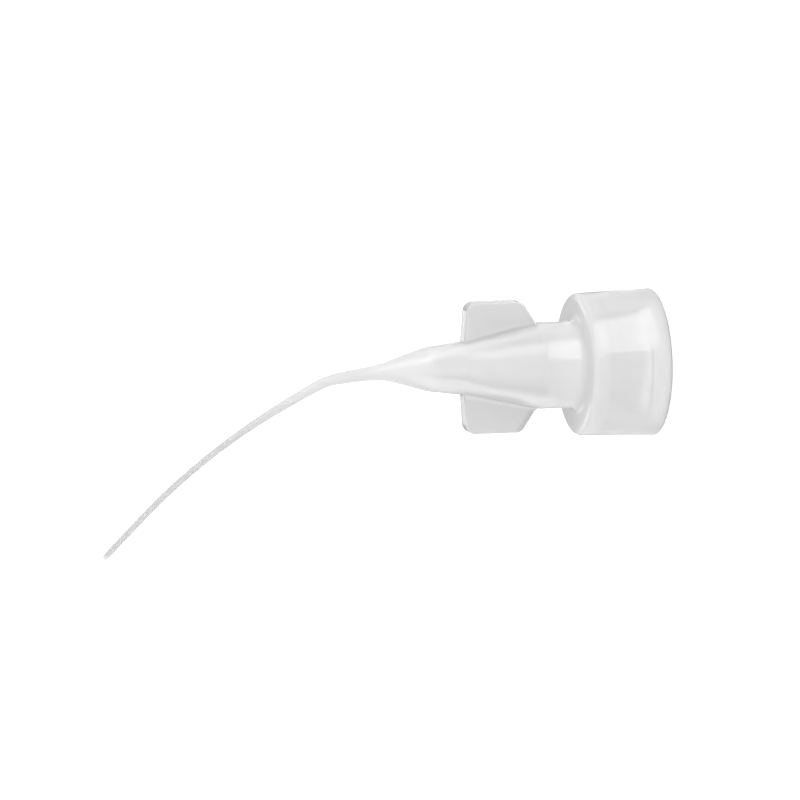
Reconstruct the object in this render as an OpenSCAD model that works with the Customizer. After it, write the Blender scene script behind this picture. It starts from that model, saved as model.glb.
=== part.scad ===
// Winged dispensing tip with a luer-lock socket, moulded in one piece.
//
// The tip stands on the mouth of its skirt. The hub's axis is +Z, the origin
// is the middle of the mouth, and the thin spout bends towards -X in the
// plane of the two wings. All sizes are in millimetres and all angles in
// degrees.

/* [Luer socket] */
// Inside diameter of the socket at its open end
socket_d = 4.27; // [4.27:0.01:4.32]
// Taper of the socket: loss of diameter for each millimetre of depth
socket_taper = 0.06; // [0.05:0.005:0.07]
// Depth of the socket
socket_depth = 6.8; // [6.5:0.1:8]
// Lead-in chamfer round the open end of the socket
socket_chamfer = 0.2; // [0.1:0.05:0.3]
// Wall of the stem round the socket, at its open end
stem_wall = 1.15; // [0.9:0.05:1.2]
// How far the stem's open end lies inside the mouth of the skirt
stem_recess = 1.6; // [1.5:0.05:2]
// Distance across the tips of the two locking lugs
lug_span = 7.8; // [7.5:0.05:7.85]
// Width of a locking lug
lug_w = 3.2; // [2.5:0.1:3.6]
// Thickness of a locking lug, along the stem
lug_t = 0.9; // [0.6:0.05:1.2]

/* [Skirt] */
// Outside diameter of the syringe collar that the skirt goes over
collar_d = 9.8; // [9.2:0.1:10.6]
// Clearance all round between that collar and the skirt's seat
collar_clearance = 0.35; // [0.1:0.05:0.5]
// Wall of the skirt round its seat
rim_wall = 0.75; // [0.6:0.05:1]
// Height of the skirt, from its mouth to the face of the shoulder
skirt_h = 6.5; // [6:0.1:9]
// Draft of the skirt, inside and outside
skirt_draft = 2; // [0.5:0.25:3]
// Depth of the straight seat inside the mouth
seat_h = 1.4; // [0.8:0.1:1.4]
// Step from the seat to the drafted wall above it
seat_step = 0.15; // [0.05:0.05:0.3]
// Thickness of the shoulder web between the skirt and the neck
shoulder_t = 1; // [0.8:0.05:1.6]
// Rounding of the shoulder's outer edge
shoulder_r = 0.4; // [0.1:0.05:0.6]
// Chamfer of the two edges of the mouth's rim
rim_chamfer = 0.12; // [0.05:0.01:0.2]

/* [Neck and cone] */
// Outside diameter of the neck
neck_d = 7; // [6.8:0.1:8]
// Length of the neck, from the shoulder to the foot of the cone
neck_l = 3.2; // [2:0.1:6]
// Fillet between the neck and the shoulder
neck_fillet = 0.45; // [0.1:0.05:0.8]
// Outside diameter of the cone where its slope eases
cone_d = 4.3; // [4.2:0.02:5]
// Length of the steep part of the cone
cone_l = 6.4; // [5.5:0.1:9]
// Outside diameter of the hub's end, where the nozzle starts
hub_end_d = 3.55; // [3.4:0.05:4]
// Length of the easy part of the cone
hub_end_l = 2.85; // [2:0.05:5]

/* [Flow passage] */
// Wall of the neck round the passage
neck_wall = 1.75; // [1.65:0.05:2]
// Wall of the cone where its slope eases
cone_wall = 1.45; // [1.2:0.05:1.6]
// Wall of the hub's end
hub_end_wall = 1.3; // [1.1:0.05:1.45]

/* [Wings] */
// Distance across the outer edges of the two wings
wing_span = 10.7; // [9.5:0.1:14]
// Thickness of a wing
wing_t = 1.5; // [0.8:0.05:2]
// Length of a wing along its outer edge, before its corners are rounded
wing_l = 4.6; // [3.5:0.1:6]
// Angle that the wing's lower edge makes with the axis
wing_slant = 57; // [50:1:75]
// Angle by which the wing's upper edge leans back
wing_lean = 4; // [0:0.5:8]
// Radius of a wing's corners
wing_corner_r = 0.8; // [0.3:0.05:1.2]

/* [Nozzle and spout] */
// Length of the short steep cone between the hub and the spout
nozzle_l = 3.5; // [2.5:0.1:5]
// Outside diameter of the spout at the end of that cone
spout_d = 1.4; // [1.2:0.02:1.8]
// Outside diameter of the spout a quarter of the way to its elbow
spout_low_d = 1.12; // [1:0.02:1.3]
// Outside diameter of the spout at its elbow
elbow_d = 0.84; // [0.7:0.02:1]
// Outside diameter of the spout past its elbow, where it stops tapering
spout_mid_d = 0.54; // [0.48:0.02:0.68]
// Outside diameter of the spout a little before its end
spout_tip_d = 0.48; // [0.44:0.02:0.6]
// Outside diameter of the spout's cut end
spout_end_d = 0.38; // [0.36:0.02:0.5]
// Wall of the spout at the end of the nozzle
spout_wall = 0.34; // [0.2:0.02:0.4]
// Wall of the spout at its elbow
elbow_wall = 0.2; // [0.14:0.01:0.26]
// Wall of the spout from where it stops tapering to its end
tip_wall = 0.11; // [0.08:0.01:0.14]

/* [Bends] */
// Straight length of the nozzle before the spout starts to droop
straight_l = 0.5; // [0.5:0.05:3]
// Length of the gentle droop
droop_l = 7; // [4:0.1:9]
// Turn of the gentle droop
droop_turn = 9; // [0:0.5:15]
// Length of the elbow
elbow_l = 1.7; // [1.6:0.1:4]
// Turn of the elbow
elbow_turn = 18.5; // [0:0.5:30]
// Length of the nearly straight reach after the elbow
reach_l = 3.4; // [2:0.1:6]
// Turn of the reach
reach_turn = 1.5; // [0:0.5:6]
// Length of the long curve
sweep_l = 14.3; // [10:0.1:20]
// Turn of the long curve
sweep_turn = 16; // [0:0.5:30]
// Straight length at the spout's end
end_l = 4.4; // [2:0.1:8]

/* [Hidden] */
$fn = 96;

// Overlap of solids that are joined, and overrun of cuts
join = 0.3;

// Radii of the skirt's seat and of its outside at the mouth
seat_r = collar_d / 2 + collar_clearance;
mouth_r = seat_r + rim_wall;

// Heights of the sections, measured up from the mouth
web_z = skirt_h - shoulder_t;
neck_end_z = skirt_h + neck_l;
cone_end_z = neck_end_z + cone_l;
hub_end_z = cone_end_z + hub_end_l;
socket_end_z = stem_recess + socket_depth;

// Radii of the stem, the socket's end and the flow passage
stem_r = socket_d / 2 + stem_wall;
socket_end_r = (socket_d - socket_taper * socket_depth) / 2;
neck_bore_r = neck_d / 2 - neck_wall;
cone_bore_r = cone_d / 2 - cone_wall;
hub_end_bore_r = hub_end_d / 2 - hub_end_wall;

// The wing's upper edge is level with the end of the cone's steep part
wing_top_z = cone_end_z;
wing_r = wing_span / 2;

// The spout's length, and its sides and rings
bends = [
    [straight_l, 0],
    [droop_l, droop_turn],
    [elbow_l, elbow_turn],
    [reach_l, reach_turn],
    [sweep_l, sweep_turn],
    [end_l, 0],
];
spout_l = bend_start(len(bends));
elbow_s = bend_start(2) + elbow_l / 2;
mid_s = bend_start(4) + end_l;
tip_s = spout_l - 2 * spout_end_d;
outer_sides = 24;
bore_sides = 12;
ring_step = 0.5;

// Outside radius and wall at a distance along the spout from the hub's end
outer_radii = [
    [0, hub_end_d / 2],
    [nozzle_l, spout_d / 2],
    [nozzle_l + (elbow_s - nozzle_l) / 4, spout_low_d / 2],
    [elbow_s, elbow_d / 2],
    [mid_s, spout_mid_d / 2],
    [tip_s, spout_tip_d / 2],
    [spout_l, spout_end_d / 2],
];
walls = [
    [0, hub_end_wall],
    [nozzle_l, spout_wall],
    [elbow_s, elbow_wall],
    [mid_s, tip_wall],
    [spout_l, tip_wall],
];

// Distance along the spout at which bend i starts
function bend_start(i) = i == 0 ? 0 : bend_start(i - 1) + bends[i - 1][0];

// Length of bend i that lies before the distance s
function bend_used(i, s) = min(max(s - bend_start(i), 0), bends[i][0]);

// Angle by which the spout has turned at the distance s
function turned(s, i = 0) =
    i == len(bends) ? 0 : bends[i][1] * bend_used(i, s) / bends[i][0] + turned(s, i + 1);

// Chord of the first u millimetres of an arc that has turned by the angle t
function chord(u, t) = t == 0 ? u : u * sin(t / 2) / (t / 2 * PI / 180);

// [x, z] of the spout's centre line at the distance s: the chords of its arcs
function centre(s, i = 0) =
    i == len(bends) ? [0, hub_end_z]
    : let (
        u = bend_used(i, s),
        t = bends[i][1] * u / bends[i][0],
        heading = turned(bend_start(i)) + t / 2,
        c = chord(u, t)
    )
    [-c * sin(heading), c * cos(heading)] + centre(s, i + 1);

// Point at the angle a round the spout, at the distance s and the radius r
function spout_point(s, r, a) =
    let (c = centre(s), t = turned(s))
    [c[0] + r * cos(a) * cos(t), r * sin(a), c[1] + r * cos(a) * sin(t)];

// A closed tube along the spout's centre line. stations holds a distance and
// a radius for each ring, and the two ends are flat.
module swept(stations, sides) {
    rings = len(stations);
    points = [
        for (ring = stations, j = [0 : sides - 1])
            spout_point(ring[0], ring[1], 360 * j / sides),
    ];
    flanks = [
        for (i = [0 : rings - 2], j = [0 : sides - 1])
            let (a = i * sides + j, b = i * sides + (j + 1) % sides)
            each [[a, a + sides, b], [b, a + sides, b + sides]],
    ];
    start_cap = [for (j = [0 : sides - 1]) j];
    end_cap = [for (j = [sides - 1 : -1 : 0]) (rings - 1) * sides + j];
    polyhedron(points = points, faces = concat(flanks, [start_cap, end_cap]), convexity = 6);
}

// The straight start of the nozzle is turned with the hub. The bent tube
// starts inside it, a hair thinner, at the distance tube_start_s.
seam = 0.02;
turned_end_z = hub_end_z + straight_l;
turned_end_r = lookup(straight_l, outer_radii);
turned_bore_r = turned_end_r - lookup(straight_l, walls);
tube_start_s = straight_l - join;

// Distances along the spout at which the rings of the bent tube lie
ring_s = [for (s = [straight_l + ring_step : ring_step : tip_s - ring_step / 2]) s, tip_s, spout_l];

// Skirt: a drafted cup, mouth down, with a straight seat inside its mouth
module skirt() {
    top_r = mouth_r - skirt_h * tan(skirt_draft);
    web_r = seat_r - seat_step - (web_z - seat_h) * tan(skirt_draft);
    color([0.9, 0.92, 0.91, 0.6])
        rotate_extrude() {
            difference() {
                polygon([
                    [0, 0],
                    [mouth_r - rim_chamfer, 0],
                    [mouth_r, rim_chamfer],
                    [top_r, skirt_h - shoulder_r],
                    [top_r - shoulder_r, skirt_h],
                    [0, skirt_h],
                ]);
                polygon([
                    [0, -join],
                    [seat_r + rim_chamfer, -join],
                    [seat_r + rim_chamfer, 0],
                    [seat_r, rim_chamfer],
                    [seat_r, seat_h],
                    [seat_r - seat_step, seat_h + seat_step],
                    [web_r, web_z],
                    [0, web_z],
                ]);
            }
            shoulder_rounding(top_r);
        }
}

// Round bead that fills the chamfer left at the shoulder's outer edge
module shoulder_rounding(top_r) {
    intersection() {
        translate([top_r - shoulder_r, skirt_h - shoulder_r])
            circle(r = shoulder_r);
        translate([top_r - shoulder_r, skirt_h - shoulder_r])
            square(shoulder_r);
    }
}

// Stem inside the skirt, with the two lugs that a syringe's thread pulls on
module stem() {
    color([0.9, 0.92, 0.91, 0.6]) {
        translate([0, 0, stem_recess])
            cylinder(r = stem_r, h = web_z + join - stem_recess);
        translate([0, 0, stem_recess])
            intersection() {
                cylinder(d = lug_span, h = lug_t);
                translate([-lug_span / 2, -lug_w / 2, 0])
                    cube([lug_span, lug_w, lug_t]);
            }
    }
}

// Neck and two-slope cone above the shoulder
module hub() {
    neck_r = neck_d / 2;
    color([0.9, 0.92, 0.91, 0.6])
        rotate_extrude() {
            polygon([
                [0, web_z],
                [neck_r, web_z],
                [neck_r, neck_end_z],
                [cone_d / 2, cone_end_z],
                [hub_end_d / 2, hub_end_z],
                [turned_end_r, turned_end_z],
                [0, turned_end_z],
            ]);
            difference() {
                translate([neck_r - join, skirt_h - join])
                    square(neck_fillet + join);
                translate([neck_r + neck_fillet, skirt_h + neck_fillet])
                    circle(r = neck_fillet);
            }
        }
}

// One wing: a flat plate in the plane of the spout, its three free corners round
module wing() {
    upper_z = wing_top_z - wing_r * tan(wing_lean);
    lower_z = upper_z - wing_l;
    root_z = lower_z - wing_r / tan(wing_slant);
    color([0.9, 0.92, 0.91, 0.6])
        rotate([90, 0, 0])
            linear_extrude(height = wing_t, center = true)
                polygon(concat(
                    [[0, wing_top_z], [0, root_z]],
                    rounded_corner([wing_r, lower_z], 90 - wing_slant, 90, wing_corner_r),
                    rounded_corner([wing_r, upper_z], 90, 180 - wing_lean, wing_corner_r)
                ));
}

// Points of an arc that rounds the corner p, where the outline's heading turns
// left from the angle a to the angle b
function rounded_corner(p, a, b, r) =
    let (
        back = r * tan((b - a) / 2),
        start = p - back * [cos(a), sin(a)],
        middle = start + r * [-sin(a), cos(a)],
        steps = 8
    )
    [for (i = [0 : steps]) let (t = a - 90 + (b - a) * i / steps) middle + r * [cos(t), sin(t)]];

// Spout: one tapering tube that follows the bends
module spout() {
    color([0.9, 0.92, 0.91, 0.6])
        swept(
            concat(
                [[tube_start_s, lookup(tube_start_s, outer_radii) - seam]],
                [for (s = ring_s) [s, lookup(s, outer_radii)]]
            ),
            outer_sides
        );
}

// Everything that is hollow from the socket to the nozzle's straight start
module flow_passage() {
    mouth_z = stem_recess;
    rotate_extrude()
        polygon([
            [0, mouth_z - join],
            [socket_d / 2 + socket_chamfer + join, mouth_z - join],
            [socket_d / 2 + socket_chamfer, mouth_z],
            [socket_d / 2 - socket_taper * socket_chamfer / 2, mouth_z + socket_chamfer],
            [socket_end_r, socket_end_z],
            [neck_bore_r, socket_end_z],
            [neck_bore_r, neck_end_z],
            [cone_bore_r, cone_end_z],
            [hub_end_bore_r, hub_end_z],
            [turned_bore_r, turned_end_z],
            [0, turned_end_z],
        ]);
}

// Fine bore of the spout, open at the cut end
module spout_bore() {
    swept(
        concat(
            [[tube_start_s, turned_bore_r - seam]],
            [for (s = ring_s) [s, lookup(s, outer_radii) - lookup(s, walls)]],
            [[spout_l + join, spout_end_d / 2 - tip_wall]]
        ),
        bore_sides
    );
}

module dispensing_tip() {
    difference() {
        union() {
            skirt();
            stem();
            hub();
            wing();
            mirror([1, 0, 0]) wing();
            spout();
        }
        flow_passage();
        spout_bore();
    }
}

dispensing_tip();
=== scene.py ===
"""Winged dispensing tip, moulded in one piece of undyed polypropylene.

The tip stands on the mouth of its skirt with its hub along +Z. The spout
bends towards -X, in the plane of the two wings. Blender works in metres, and
the tip's own sizes below are in millimetres.
"""

import bpy
import numpy as np
from mathutils import Matrix, Vector


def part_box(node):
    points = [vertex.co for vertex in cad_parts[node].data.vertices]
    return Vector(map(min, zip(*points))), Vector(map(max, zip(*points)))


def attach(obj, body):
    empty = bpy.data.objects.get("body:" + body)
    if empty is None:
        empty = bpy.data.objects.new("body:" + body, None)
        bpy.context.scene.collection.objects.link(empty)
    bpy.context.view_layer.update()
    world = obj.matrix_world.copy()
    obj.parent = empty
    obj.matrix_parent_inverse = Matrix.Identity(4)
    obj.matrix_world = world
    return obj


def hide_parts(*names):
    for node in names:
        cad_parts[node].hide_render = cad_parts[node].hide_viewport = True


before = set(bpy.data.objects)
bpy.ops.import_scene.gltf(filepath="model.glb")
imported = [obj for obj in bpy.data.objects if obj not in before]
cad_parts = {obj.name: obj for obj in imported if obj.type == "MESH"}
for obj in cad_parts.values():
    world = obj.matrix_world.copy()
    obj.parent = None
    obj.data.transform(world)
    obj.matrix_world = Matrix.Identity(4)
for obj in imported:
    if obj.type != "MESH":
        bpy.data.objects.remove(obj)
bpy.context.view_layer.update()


# ---------------------------------------------------------------------------
# The view.
# A long lens looks across the tip from above its wings' flat side, turned a
# quarter turn so that the spout points to the left.
# ---------------------------------------------------------------------------

MM = 0.001

low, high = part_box("dispensing_tip")

TILT, ROLL, SWING = np.radians(14.7), np.radians(2.0), np.radians(8.5)
VIEW_DISTANCE = 450.0
VIEW_SIDE = -2.43
VIEW_HEIGHT = 0.4628
LENS_LENGTH, SENSOR_WIDTH = 251.4, 36.0
NEAREST, FARTHEST = 0.01, 10.0

# Level directions across the view and towards the lens, then the view's own
across = np.array([np.cos(SWING), np.sin(SWING), 0])
level = np.array([np.sin(SWING), -np.cos(SWING), 0])
towards = np.cos(TILT) * level + [0, 0, np.sin(TILT)]
along = np.sin(TILT) * level - [0, 0, np.cos(TILT)]
right = np.cos(ROLL) * along - np.sin(ROLL) * across
upward = np.sin(ROLL) * along + np.cos(ROLL) * across

aim = np.array([VIEW_SIDE, 0.0, VIEW_HEIGHT * (high.z - low.z) / MM])
place = (aim + VIEW_DISTANCE * towards) * MM

lens = bpy.data.cameras.new("view")
lens.sensor_width = SENSOR_WIDTH
lens.lens = LENS_LENGTH
lens.clip_start, lens.clip_end = NEAREST, FARTHEST
camera = bpy.data.objects.new("view", lens)
turned_lens = np.array([right, upward, towards]).T
camera.matrix_world = Matrix(
    [[*row, shift] for row, shift in zip(turned_lens, place)] + [[0, 0, 0, 1]]
)
bpy.context.scene.collection.objects.link(camera)
bpy.context.scene.camera = camera
bpy.context.scene.view_settings.view_transform = "Standard"


# ---------------------------------------------------------------------------
# The outline of the wall.
# One closed profile goes up the outside from the rim to the spout's cut end
# and comes back down the inside through the bore, the luer socket, round the
# stem and down the skirt.
# ---------------------------------------------------------------------------

# Distances along the axis from the mouth, and radii of the hub
MOUTH_R = high.y / MM
SKIRT_H, SKIRT_DRAFT = 6.5, np.radians(2)
SEAT_R, SEAT_END = 5.25, 1.4
WEB = 5.5
NECK_R, NECK_END = 3.5, 9.7
CONE_R, CONE_END = 2.15, 16.1
CONE_SLOPE = (NECK_R - CONE_R) / (CONE_END - NECK_END)
HUB_R, HUB_END = 1.775, 18.95
STEM_R, STEM_END = 3.285, 1.6
SOCKET_END, PASSAGE_R = 8.4, 1.75

# The spout as lengths and turns in degrees, and where its taper changes
BENDS = [(0.5, 0.0), (7.0, 9.0), (1.7, 18.5), (3.4, 1.5), (14.3, 16.0), (4.4, 0.0)]
END = HUB_END + sum(length for length, turn in BENDS)
NOZZLE_END = HUB_END + 3.5
FINE_START = HUB_END + 4.71
ELBOW = HUB_END + 8.35
FINE_END = HUB_END + 17.0
TIP_START = END - 0.7

# An arc has three points and one more for each of these degrees of its turn
ARC_DEGREES = 13


def rounded_line(corners):
    """Points of a line through the corners (distance, radius, rounding, step).

    Each corner is replaced by the arc that touches both of its sides, which
    starts rounding * tan(turn / 2) before it. Between two arcs the line is
    divided evenly into pieces no longer than the later corner's step.
    """
    at = np.array([c[:2] for c in corners], float)
    way = np.diff(at, axis=0)
    way /= np.linalg.norm(way, axis=1)[:, None]
    line = [at[:1]]
    for i in range(1, len(corners)):
        rounding, step = corners[i][2:]
        if i == len(corners) - 1 or rounding == 0:
            arc = at[i : i + 1]
        else:
            turn = np.arctan2(
                way[i - 1, 0] * way[i, 1] - way[i - 1, 1] * way[i, 0], way[i - 1] @ way[i]
            )
            back = rounding * abs(np.tan(turn / 2))
            side = np.sign(turn) * np.array([-way[i - 1, 1], way[i - 1, 0]])
            middle = at[i] - back * way[i - 1] + rounding * side
            count = 3 + int(abs(np.degrees(turn)) / ARC_DEGREES)
            a = np.linspace(0, turn, count)[:, None]
            spoke = -side * rounding
            quarter = np.array([-spoke[1], spoke[0]])
            arc = middle + np.cos(a) * spoke + np.sin(a) * quarter
        start = line[-1][-1]
        pieces = max(1, int(np.ceil(np.linalg.norm(arc[0] - start) / step)))
        t = np.linspace(0, 1, pieces, endpoint=False)[1:, None]
        line += [start + t * (arc[0] - start), arc]
    return np.concatenate(line)


# Both lines give (distance, radius, rounding, step), the outside from the rim
# up and the inside from the cut end down, and each starts on a flat end
outside = rounded_line([
    (0.0, 5.62, 0, 1),
    (0.0, MOUTH_R, 0.13, 0.3),
    (SKIRT_H, MOUTH_R - SKIRT_H * np.tan(SKIRT_DRAFT), 0.4, 0.35),
    (SKIRT_H, NECK_R, 0.45, 0.3),
    (NECK_END, NECK_R, 0.8, 0.3),
    (CONE_END, CONE_R, 1.2, 0.14),
    (HUB_END, HUB_R, 0.9, 0.3),
    (NOZZLE_END, 0.70, 2.6, 0.25),
    (FINE_START, 0.56, 6.0, 0.25),
    (ELBOW, 0.42, 12.0, 0.25),
    (FINE_END, 0.27, 12.0, 0.3),
    (TIP_START, 0.24, 3.0, 0.35),
    (END, 0.19, 0.05, 0.2),
    (END, 0.135, 0, 0.03),
])
inside = rounded_line([
    (END, 0.13, 0, 1),
    (END, 0.08, 0.03, 0.03),
    (TIP_START, 0.13, 1.0, 0.2),
    (FINE_END, 0.16, 6.0, 0.4),
    (ELBOW, 0.22, 6.0, 0.35),
    (NOZZLE_END, 0.36, 1.5, 0.35),
    (HUB_END, 0.475, 1.0, 0.35),
    (CONE_END, 0.70, 1.0, 0.5),
    (NECK_END, PASSAGE_R, 0.5, 0.5),
    (SOCKET_END, PASSAGE_R, 0.06, 0.5),
    (SOCKET_END, 1.931, 0.06, 0.06),
    (STEM_END + 0.2, 2.129, 0.15, 0.5),
    (STEM_END, 2.335, 0.1, 0.1),
    (STEM_END, STEM_R, 0.15, 0.3),
    (WEB, STEM_R, 0.25, 0.1),
    (WEB, 4.957, 0.25, 0.3),
    (SEAT_END + 0.15, 5.10, 0.05, 0.3),
    (SEAT_END, SEAT_R, 0.05, 0.1),
    (0.0, SEAT_R, 0.12, 0.25),
    (0.0, 5.56, 0, 0.1),
])


# ---------------------------------------------------------------------------
# The two wings.
# Flat thumb tabs moulded with the cone, one on each side, with their free
# corners and their edges rounded and a small fillet along their roots.
# ---------------------------------------------------------------------------

WING_R = 5.35
WING_L = 4.6
WING_HALF = 0.75
WING_EDGE = 0.16
WING_CORNER = 0.8
WING_FILLET = 0.3
WING_LEAN, WING_SLANT = np.radians(4), np.radians(57)

wing_top = CONE_END - WING_R * np.tan(WING_LEAN)
wing_foot = wing_top - WING_L

# Points on the arcs of the two free corners, and how far the straight sides
# run on into the hub
FOOT_POINTS, HEAD_POINTS = 12, 16
FOOT_RUN, HEAD_RUN = 5.0, 6.0


def wing_outline(inset):
    """The wing's free edge, inset by a distance, as (reach, height) points.

    Three straight sides, each moved in by the inset, joined at the two free
    corners by arcs about fixed middles, with the corner radius less the inset.
    """
    x = WING_R - WING_CORNER
    lower = np.array([x, wing_foot + WING_CORNER * np.tan(WING_SLANT / 2)])
    upper = np.array([x, wing_top - WING_CORNER * np.tan(np.pi / 4 - WING_LEAN / 2)])
    a = np.linspace(-WING_SLANT, 0, FOOT_POINTS)[:, None]
    b = np.linspace(0, np.pi / 2 - WING_LEAN, HEAD_POINTS)[:, None]
    foot = lower + (WING_CORNER - inset) * np.hstack([np.cos(a), np.sin(a)])
    head = upper + (WING_CORNER - inset) * np.hstack([np.cos(b), np.sin(b)])
    start = foot[0] - FOOT_RUN * np.array([np.sin(WING_SLANT), np.cos(WING_SLANT)])
    finish = head[-1] + HEAD_RUN * np.array([-np.cos(WING_LEAN), np.sin(WING_LEAN)])
    return np.vstack([start, foot, head, finish])


def wing_reach(z, inset=0.0):
    """How far the wing, inset by a distance, reaches from the axis at each height."""
    x, height = wing_outline(inset).T
    return np.interp(z, height, x)


def wing_half(x, z):
    """Half the wing's thickness at (x, z), or -1 outside the wing.

    The depth inside the free edge is the corner radius less the distance to
    the outline's core, which is the outline inset by that radius. Within
    WING_EDGE of the edge the face falls away on a quarter circle.
    """
    p = np.stack([x, z], -1)
    core = wing_outline(WING_CORNER)[[0, 1, FOOT_POINTS + 1, -1]]
    away, within = [], []
    for a, b in zip(core[:-1], core[1:]):
        run, off = b - a, p - a
        t = np.clip((off @ run) / (run @ run), 0, 1)
        away.append(np.linalg.norm(p - a - t[..., None] * run, axis=-1))
        within.append(run[0] * off[..., 1] - run[1] * off[..., 0] >= 0)
    depth = WING_CORNER - np.where(np.all(within, axis=0), 0, np.min(away, axis=0))
    fall = WING_EDGE - np.clip(depth, 0, WING_EDGE)
    half = WING_HALF - WING_EDGE + np.sqrt(WING_EDGE**2 - fall**2)
    return np.where(depth < 0, -1, half)


# A distance past the wing's edge, and how often the way to it is halved
PAST_WING, HALVINGS = 8.0, 36


def plate_reach(angle, z):
    """Distance from the axis to the wing's surface along a ray in its level.

    The wing's section holds the axis, so each ray leaves it once, and halving
    an interval finds where.
    """
    near, far = np.zeros_like(z + angle), np.full_like(z + angle, PAST_WING)
    for _ in range(HALVINGS):
        r = (near + far) / 2
        within = r * np.sin(angle) <= wing_half(r * np.cos(angle), z + 0 * angle)
        near, far = np.where(within, r, near), np.where(within, far, r)
    return near


def smooth_max(a, b, k):
    """The larger of a and b, with a parabola of width k across the crossing."""
    h = np.clip(k - abs(a - b), 0, None) / k
    return np.maximum(a, b) + h * h * k / 4


# Columns in a quarter of the way round, and how they crowd along the face
END_STEPS, EDGE_STEPS, FACE_STEPS, ARC_STEPS = 3, 5, 15, 14
QUARTER = END_STEPS + EDGE_STEPS + FACE_STEPS + ARC_STEPS
FACE_CROWDING = 0.7


def wing_angles(z, hub_r):
    """Angles, 0 to 90 degrees, of the columns in one quarter of each row.

    They stand on the wing's end face, round its edge, along its flat face to
    a little inside the hub, and then evenly round the hub. Where the wing has
    shrunk into the hub, its end face is taken to lie at the hub's radius.
    """
    flat = WING_HALF - WING_EDGE
    end_y = np.linspace(0, flat, END_STEPS + 1)[None, :]
    end_x = np.maximum(wing_reach(z), hub_r)[:, None]
    turn = np.linspace(0, np.pi / 2, EDGE_STEPS + 1)[None, 1:]
    edge_x = np.hstack([wing_reach(z, WING_EDGE * (1 - np.cos(t)))[:, None] for t in turn[0]])
    edge_x = np.maximum(edge_x, hub_r[:, None] - WING_EDGE * (1 - np.cos(turn)))
    edge_y = flat + WING_EDGE * np.sin(turn)
    root_x = np.sqrt((hub_r - WING_FILLET) ** 2 - WING_HALF**2)[:, None]
    t = np.linspace(0, 1, FACE_STEPS + 1)[None, 1:] ** FACE_CROWDING
    face_x = edge_x[:, -1:] + t * (root_x - edge_x[:, -1:])
    face = np.arctan2(WING_HALF, face_x)
    t = np.linspace(0, 1, ARC_STEPS + 1)[None, 1:]
    arc = face[:, -1:] + t * (np.pi / 2 - face[:, -1:])
    return np.hstack([np.arctan2(end_y, end_x), np.arctan2(edge_y, edge_x), face, arc])


# The rows of the cone where the wings stand: one at each step along the
# wing's free edge as well as along the cone's own line
WING_ROWS_START, WING_ROWS_END = 9.82, 16.25
EDGE_ROW_STEP, LEAST_ROW_GAP = 0.13, 0.004

edge = wing_outline(0.0)
edge_way = np.concatenate([[0], np.cumsum(np.linalg.norm(np.diff(edge, axis=0), axis=1))])
steps = np.interp(np.arange(0, edge_way[-1], EDGE_ROW_STEP), edge_way, edge[:, 1])
steps = steps[(steps > WING_ROWS_START) & (steps < CONE_END)]

heights = outside[:, 0]
low_rows = outside[: np.argmax(heights > WING_ROWS_START)]
high_rows = outside[np.argmax(heights > WING_ROWS_END) :]
cone_rows = heights[(heights > WING_ROWS_START) & (heights <= WING_ROWS_END)]

wing_z = np.sort(np.concatenate([steps, cone_rows]))
wing_z = wing_z[np.concatenate([[True], np.diff(wing_z) > LEAST_ROW_GAP])]
wing_rows = np.stack([wing_z, np.interp(wing_z, heights, outside[:, 1])], 1)


# ---------------------------------------------------------------------------
# The two lugs on the stem.
# Short blocks moulded at the stem's open end, which a syringe's thread pulls
# home. Their tips are an arc, and their upper edge is rounded.
# ---------------------------------------------------------------------------

LUG_R, LUG_HALF, LUG_END = 3.9, 1.6, 2.5
LUG_EDGE = 0.12
TINY = 1e-6


def lug_reach(angle, z):
    """Distance from the axis to a lug's surface: an arc cut by two flat sides,
    drawn in on a quarter circle towards its upper face."""
    depth = np.clip(LUG_END - z, 0, LUG_EDGE)
    draw = LUG_EDGE - np.sqrt(LUG_EDGE**2 - (LUG_EDGE - depth) ** 2)
    reach = np.minimum(LUG_R - draw, LUG_HALF / np.maximum(np.sin(angle), TINY))
    return np.where(z <= LUG_END, reach, 0)


# The stem's rows at the lugs, which crowd round their upper edge, take the
# place of its own
LUG_ROWS = (2.1, 2.36, 2.42, 2.47, 2.5, 2.504, 2.6)
LUG_ROWS_START, LUG_ROWS_END = 1.8, 2.7

on_stem = abs(inside[:, 1] - STEM_R) < TINY
replaced = on_stem & (inside[:, 0] > LUG_ROWS_START) & (inside[:, 0] < LUG_ROWS_END)
first = np.argmax(replaced)
stem_rows = np.array([[height, STEM_R] for height in LUG_ROWS])
inside = np.vstack([inside[:first], stem_rows, inside[first:][~replaced[first:]]])


# ---------------------------------------------------------------------------
# The tip itself.
# The rows of the outline are carried round the centre line in closed rings,
# which follow the spout's bends. It is one moulding of undyed polypropylene
# with no joints.
# ---------------------------------------------------------------------------


def centre_line(s):
    """Place (x, z) and heading of the centre line at distances s from the mouth.

    Straight up to the hub's end, then one arc after another. Each adds its
    chord, which is its length times sin(half its turn) over half its turn, at
    the heading of its middle.
    """
    x, z = np.zeros_like(s), np.minimum(s, HUB_END)
    heading, begun, turned = np.zeros_like(s), HUB_END, 0.0
    for length, turn in BENDS:
        used = np.clip(s - begun, 0, length)
        part = np.radians(turn) * used / length
        chord = used * np.sinc(part / 2 / np.pi)
        x -= chord * np.sin(turned + part / 2)
        z += chord * np.cos(turned + part / 2)
        heading += part
        begun += length
        turned += np.radians(turn)
    return x, z, heading


rows = np.vstack([low_rows, wing_rows, high_rows, inside])
row_s, row_r = rows.T

# The rows whose columns follow the wings, and those that carry the lugs
WINGED_START, WINGED_END = 7.0, 19.0
outer = np.arange(len(rows)) < len(rows) - len(inside)
winged = outer & (row_s > WINGED_START) & (row_s < WINGED_END)
lugged = ~outer & (abs(row_r - STEM_R) < TINY) & (row_s < LUG_ROWS[-1])

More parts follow.
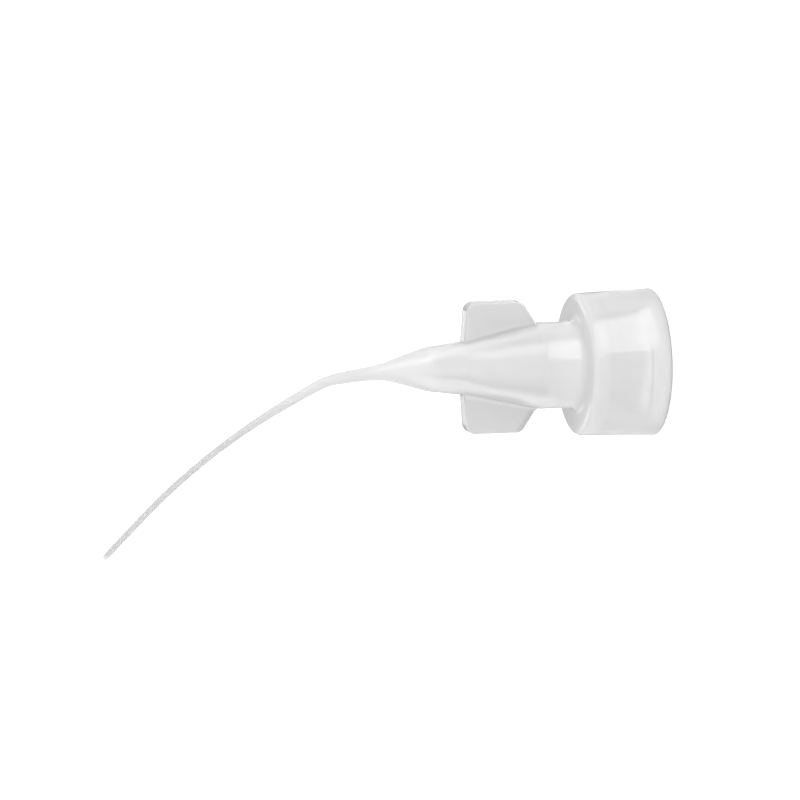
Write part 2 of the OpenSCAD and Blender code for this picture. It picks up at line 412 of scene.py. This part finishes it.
# Columns: evenly spaced, but gathered round the wings beside them, and eased
# back to even over a short way above and below
GATHER_START, GATHER_END, GATHER_EASE = 9.9, 16.0, 2.4
angles = np.tile(np.linspace(0, np.pi / 2, QUARTER + 1), (len(rows), 1))
winged_s = row_s[winged]
near_s = np.clip(winged_s, GATHER_START, GATHER_END)
past = np.maximum(GATHER_START - winged_s, winged_s - GATHER_END)
ease = np.clip(past / GATHER_EASE, 0, 1)[:, None]
ease = ease * ease * (3 - 2 * ease)
gathered = wing_angles(near_s, np.interp(near_s, outside[:, 0], outside[:, 1]))
angles[winged] = gathered + ease * (angles[winged] - gathered)

radii = np.tile(rows[:, 1:], (1, QUARTER + 1))
plates = plate_reach(angles[winged], winged_s[:, None])
radii[winged] = smooth_max(radii[winged], plates, WING_FILLET)
radii[lugged] = np.maximum(radii[lugged], lug_reach(angles[lugged], rows[lugged, :1]))

# The quarter is mirrored twice to go all the way round
half_turn = np.hstack([angles, np.pi - angles[:, -2::-1]])
turns = np.hstack([half_turn, 2 * np.pi - half_turn[:, -2:0:-1]])
half_reach = np.hstack([radii, radii[:, -2::-1]])
reach = np.hstack([half_reach, half_reach[:, -2:0:-1]])

middle_x, middle_z, heading = centre_line(row_s)
side = reach * np.cos(turns)
points = np.stack([
    middle_x[:, None] + side * np.cos(heading)[:, None],
    reach * np.sin(turns),
    middle_z[:, None] + side * np.sin(heading)[:, None],
], -1)
i, j = np.indices(turns.shape)
ahead, beside = (i + 1) % i.shape[0], (j + 1) % i.shape[1]
index = np.stack([i, i, ahead, ahead]) * i.shape[1] + np.stack([j, beside, beside, j])
quads = index.reshape(4, -1).T

mesh = bpy.data.meshes.new("tip")
mesh.from_pydata((points.reshape(-1, 3) * MM).tolist(), [], quads.tolist())
mesh.shade_smooth()
tip = bpy.data.objects.new("tip", mesh)
bpy.context.scene.collection.objects.link(tip)


class Wire:
    """A shader socket that can stand in a sum, which adds its Math nodes."""

    def __init__(self, tree, socket=None):
        self.tree, self.socket = tree, socket

    def node(self, kind, settings=(), values=()):
        """A node of any kind. Its settings are set first, then its sockets."""
        made = self.tree.nodes.new(kind)
        for name, value in dict(settings).items():
            setattr(made, name, value)
        for name, value in dict(values).items():
            if isinstance(value, Wire):
                self.tree.links.new(value.socket, made.inputs[name])
            else:
                made.inputs[name].default_value = value
        return made

    def wire(self, kind, output, settings=(), values=()):
        """The output of a new node, ready for a sum."""
        return Wire(self.tree, self.node(kind, settings, values).outputs[output])

    def sum_of(self, operation, a, b):
        """The output of a Math node."""
        return self.wire("ShaderNodeMath", 0, {"operation": operation}, {0: a, 1: b})

    def __add__(self, other):
        return self.sum_of("ADD", self, other)

    __radd__ = __add__

    def __sub__(self, other):
        return self.sum_of("SUBTRACT", self, other)

    def __rsub__(self, other):
        return self.sum_of("SUBTRACT", other, self)

    def __mul__(self, other):
        return self.sum_of("MULTIPLY", self, other)

    __rmul__ = __mul__


def fresh_material(name):
    """An empty material and a Wire to build it with."""
    material = bpy.data.materials.new(name)
    material.use_nodes = True
    material.node_tree.nodes.clear()
    return material, Wire(material.node_tree)


# Undyed polypropylene: clear enough to show the walls behind, milky with
# fine crystals, and glossy where the polished mould left it
HAZE_SCALE, GRAIN_SCALE = 240.0, 2600.0
# One plastic in lit and shaded copies. The neck and skirt take the lightest tone, and the darker
# tones of the cone, hub and rim and of the wings are painted shade.
SKIRT_NECK_TONES = (0.99, 0.993, 0.99, 1), (0.998, 1.0, 0.998, 1)
CONE_RIM_SHADE_TONES = (0.92, 0.925, 0.92, 1), (0.945, 0.948, 0.945, 1)
WING_SHADE_TONES = (0.72, 0.725, 0.72, 1), (0.75, 0.753, 0.75, 1)
SPOUT_TONE = (0.885, 0.89, 0.885, 1)
GRAIN_HEIGHT, GRAIN_STRENGTH = 0.00003, 0.03
MILK_DEPTH = 0.0005
CLEAR, MILKY = 0.5, 0.1

plastic, w = fresh_material("natural_polypropylene")
spot = w.wire("ShaderNodeTexCoord", "Object")
apart = w.node("ShaderNodeSeparateXYZ", {}, {0: spot})
sideways, height = (Wire(w.tree, apart.outputs[name]) * (1 / MM) for name in "XZ")


def noise(scale, detail):
    """Cloudy noise from 0 to 1 that fills the space round the tip."""
    values = {"Vector": spot, "Scale": scale, "Detail": detail}
    return w.wire("ShaderNodeTexNoise", "Fac", {}, values)


def fade(value, start, end, first=0.0, last=1.0):
    """Goes evenly from first to last while the value goes from start to end."""
    values = {0: value, 1: start, 2: end, 3: first, 4: last}
    return w.wire("ShaderNodeMapRange", 0, {}, values)


def blend(share, one, other):
    """The colour one, giving way to the other as the share rises from 0 to 1."""
    values = {0: share, 6: one, 7: other}
    return w.wire("ShaderNodeMix", 2, {"data_type": "RGBA"}, values)


haze = noise(HAZE_SCALE, 3.0)
grain = noise(GRAIN_SCALE, 2.0)

# The wings, whose darker tone is painted shade: past the cone's line, between the neck's end and
# the wings' top
past_cone = w.sum_of("MAXIMUM", sideways, 0 - sideways) + height * CONE_SLOPE
past_cone = past_cone - (NECK_R + NECK_END * CONE_SLOPE)
above = w.sum_of("GREATER_THAN", height, NECK_END - 0.1)
below = w.sum_of("LESS_THAN", height, CONE_END + 0.3)
plate = above * below * fade(past_cone, -0.1, 0.3)

# How far a place belongs to the rim, to the web and the neck's foot, to the cone
# and what follows it, and to the spout. The rim and the cone take a darker tone
# than the neck and skirt, which is painted shade
lip = fade(height, 0.3, 2.2, 0.8, 0.0)
web = fade(height, 5.0, 6.5) * fade(height, 7.2, 9.4, 1.0, 0.0)
core = fade(height, NECK_END - 0.4, NECK_END + 0.4)
far = fade(height, HUB_END - 1, HUB_END + 4)

# Painted shade: the rim and cone darker than the neck and skirt, the wings darker still
hub_tone = blend(core + lip, blend(haze, *SKIRT_NECK_TONES), blend(haze, *CONE_RIM_SHADE_TONES))
body_tone = blend(far, hub_tone, SPOUT_TONE)
tone = blend(plate, body_tone, blend(haze, *WING_SHADE_TONES))
bump = w.wire("ShaderNodeBump", "Normal", {}, {
    "Strength": GRAIN_STRENGTH,
    "Distance": GRAIN_HEIGHT,
    "Height": grain,
})


def plastic_shader(clearness):
    """The moulded plastic with a share of its light passing straight through."""
    shader = w.node("ShaderNodeBsdfPrincipled", {"subsurface_method": "RANDOM_WALK"}, {
        "Base Color": tone,
        "Roughness": 0.07 + 0.05 * haze,
        "IOR": 1.49,
        "Transmission Weight": clearness,
        "Subsurface Weight": 1.0,
        "Subsurface Radius": (1.0, 1.0, 1.0),
        "Subsurface Scale": MILK_DEPTH,
        "Normal": bump,
    })
    return Wire(w.tree, shader.outputs[0])


surface = w.wire("ShaderNodeMixShader", 0, {}, {
    0: 0.25 + 0.4 * web + 0.75 * far,
    1: plastic_shader(CLEAR),
    2: plastic_shader(MILKY),
})
w.node("ShaderNodeOutputMaterial", {}, {"Surface": surface})
mesh.materials.append(plastic)

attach(tip, "root")
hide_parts("dispensing_tip")


# ---------------------------------------------------------------------------
# The floor.
# A plain white table top that the tip stands on. Cameras, gloss and clear
# plastic see it a little brighter than the light on it makes it.
# ---------------------------------------------------------------------------

FLOOR_HALF = 2.0
FLOOR_Z = -2e-5
WHITE = (1, 1, 1, 1)
PALE = (0.9, 0.9, 0.9, 1)


def lookers(w):
    """Three wires: 1 where the camera, gloss or clear plastic looks, else 0."""
    kinds = ("Camera", "Glossy", "Transmission")
    return [w.wire("ShaderNodeLightPath", f"Is {kind} Ray") for kind in kinds]


floor_mesh = bpy.data.meshes.new("floor")
signs = [(-1, -1), (1, -1), (1, 1), (-1, 1)]
floor_corners = [(FLOOR_HALF * a, FLOOR_HALF * b, FLOOR_Z) for a, b in signs]
floor_mesh.from_pydata(floor_corners, [], [(0, 1, 2, 3)])
floor = bpy.data.objects.new("floor", floor_mesh)
bpy.context.scene.collection.objects.link(floor)

table_top, w = fresh_material("white_table")
seen, gloss, through = lookers(w)
matt = w.wire("ShaderNodeBsdfDiffuse", "BSDF", {}, {"Color": PALE})
lift = w.wire("ShaderNodeEmission", "Emission", {}, {
    "Color": WHITE,
    "Strength": seen * 0.5 + gloss * 0.3 + through * 0.3,
})
both = w.wire("ShaderNodeAddShader", "Shader", {}, {0: matt, 1: lift})
w.node("ShaderNodeOutputMaterial", {}, {"Surface": both})
floor_mesh.materials.append(table_top)


# ---------------------------------------------------------------------------
# The light.
# Even surroundings that are brightest at the horizon, and two large soft
# lamps: the key on the wings' +X side, and a fill across from it that lights
# the tip and gives it no highlight.
# ---------------------------------------------------------------------------

HORIZON, OVERHEAD_LOSS = 1.19, 0.60
LAMP_SIZE = 0.20

world = bpy.data.worlds.new("studio")
world.use_nodes = True
bpy.context.scene.world = world
world.node_tree.nodes.clear()
w = Wire(world.node_tree)
seen, gloss, through = lookers(w)
sky = w.node("ShaderNodeSeparateXYZ", {}, {0: w.wire("ShaderNodeTexCoord", "Generated")})
sky_height = w.sum_of("MAXIMUM", Wire(w.tree, sky.outputs["Z"]), 0.0)
sky_light = HORIZON - OVERHEAD_LOSS * sky_height
# Looked at straight, mirrored or through the plastic, the sky is plain white
looked_at = w.sum_of("MAXIMUM", w.sum_of("MAXIMUM", seen, gloss), through)
strength = sky_light + (1 - sky_light) * looked_at
around = w.wire("ShaderNodeBackground", "Background", {}, {"Color": WHITE, "Strength": strength})
w.node("ShaderNodeOutputWorld", {}, {"Surface": around})


def soft_lamp(name, place, aim, radiance):
    """A square area lamp. Its power is radiance times pi times its area."""
    data = bpy.data.lights.new(name, "AREA")
    data.shape, data.size = "SQUARE", LAMP_SIZE
    data.energy = radiance * np.pi * LAMP_SIZE**2
    lamp = bpy.data.objects.new(name, data)
    facing = (Vector(aim) - Vector(place)).to_track_quat("-Z", "Y").to_matrix()
    lamp.matrix_world = Matrix.Translation(place) @ facing.to_4x4()
    lamp.visible_camera = False
    bpy.context.scene.collection.objects.link(lamp)
    return lamp


soft_lamp("key", (0.30, -0.20, 0.12), (0, 0, 0.02), 2.4)
fill = soft_lamp("fill", (-0.28, -0.26, 0.05), (0, 0, 0.01), 2.2)
fill.visible_glossy = False


# ---------------------------------------------------------------------------
# The cards.
# Plain boards round the tip that only its gloss sees. Bright ones give it
# soft highlights, and dark ones draw its edges as thin lines.
# ---------------------------------------------------------------------------

CARD_Z = 0.3


def lay_card(name, glow, corners):
    """A flat glowing card through its corners (turn, distance, height).

    The turn is in degrees from the lens's side towards +X, and the other two
    are in millimetres. A corner without a height lies on the table.
    """
    turn = np.radians([corner[0] for corner in corners])
    distance = np.array([corner[1] for corner in corners]) * MM
    outline = (distance * np.cos(turn))[:, None] * level
    outline += (distance * np.sin(turn))[:, None] * across
    outline[:, 2] = [(corner[2] if len(corner) > 2 else CARD_Z) * MM for corner in corners]
    card_mesh = bpy.data.meshes.new(name)
    card_mesh.from_pydata(outline.tolist(), [], [tuple(range(len(corners)))])
    finish, w = fresh_material(name)
    light = w.wire("ShaderNodeEmission", "Emission", {}, {"Color": WHITE, "Strength": glow})
    w.node("ShaderNodeOutputMaterial", {}, {"Surface": light})
    card_mesh.materials.append(finish)
    card = bpy.data.objects.new(name, card_mesh)
    card.visible_camera = card.visible_diffuse = False
    card.visible_transmission = card.visible_shadow = False
    bpy.context.scene.collection.objects.link(card)


def stand_card(name, glow, distance, turns, heights):
    """An upright card from one turn to another and from one height to another."""
    (start, end), (bottom, top) = turns, heights
    around_it = [(start, bottom), (start, top), (end, top), (end, bottom)]
    lay_card(name, glow, [(turn, distance, height) for turn, height in around_it])


# On the table: a bright card before the tip on its +X side, and a dark one
# that reaches far back behind it
lay_card("bright_card", 4.2, [(14, 9.5), (14, 60), (62, 60), (68, 9.5)])
lay_card("dark_floor", 0.45, [
    (135, 9), (180, 8), (-135, 9), (-150, 200), (180, 200), (165, 200), (165, 42), (140, 38),
])

# Upright: dark cards low behind the tip, beside the bright one there and on
# the tip's -X side, and a bright card high behind it
stand_card("dark_back", 0.40, 122, (157, -165), (10, 43.4))
stand_card("dark_side", 0.40, 122, (164, 169.5), (43.4, 64))
stand_card("dark_low", 0.10, 110, (-38, -84), (8, 50))
stand_card("back_card", 2.2, 118, (170.5, -170.5), (43.6, 66))
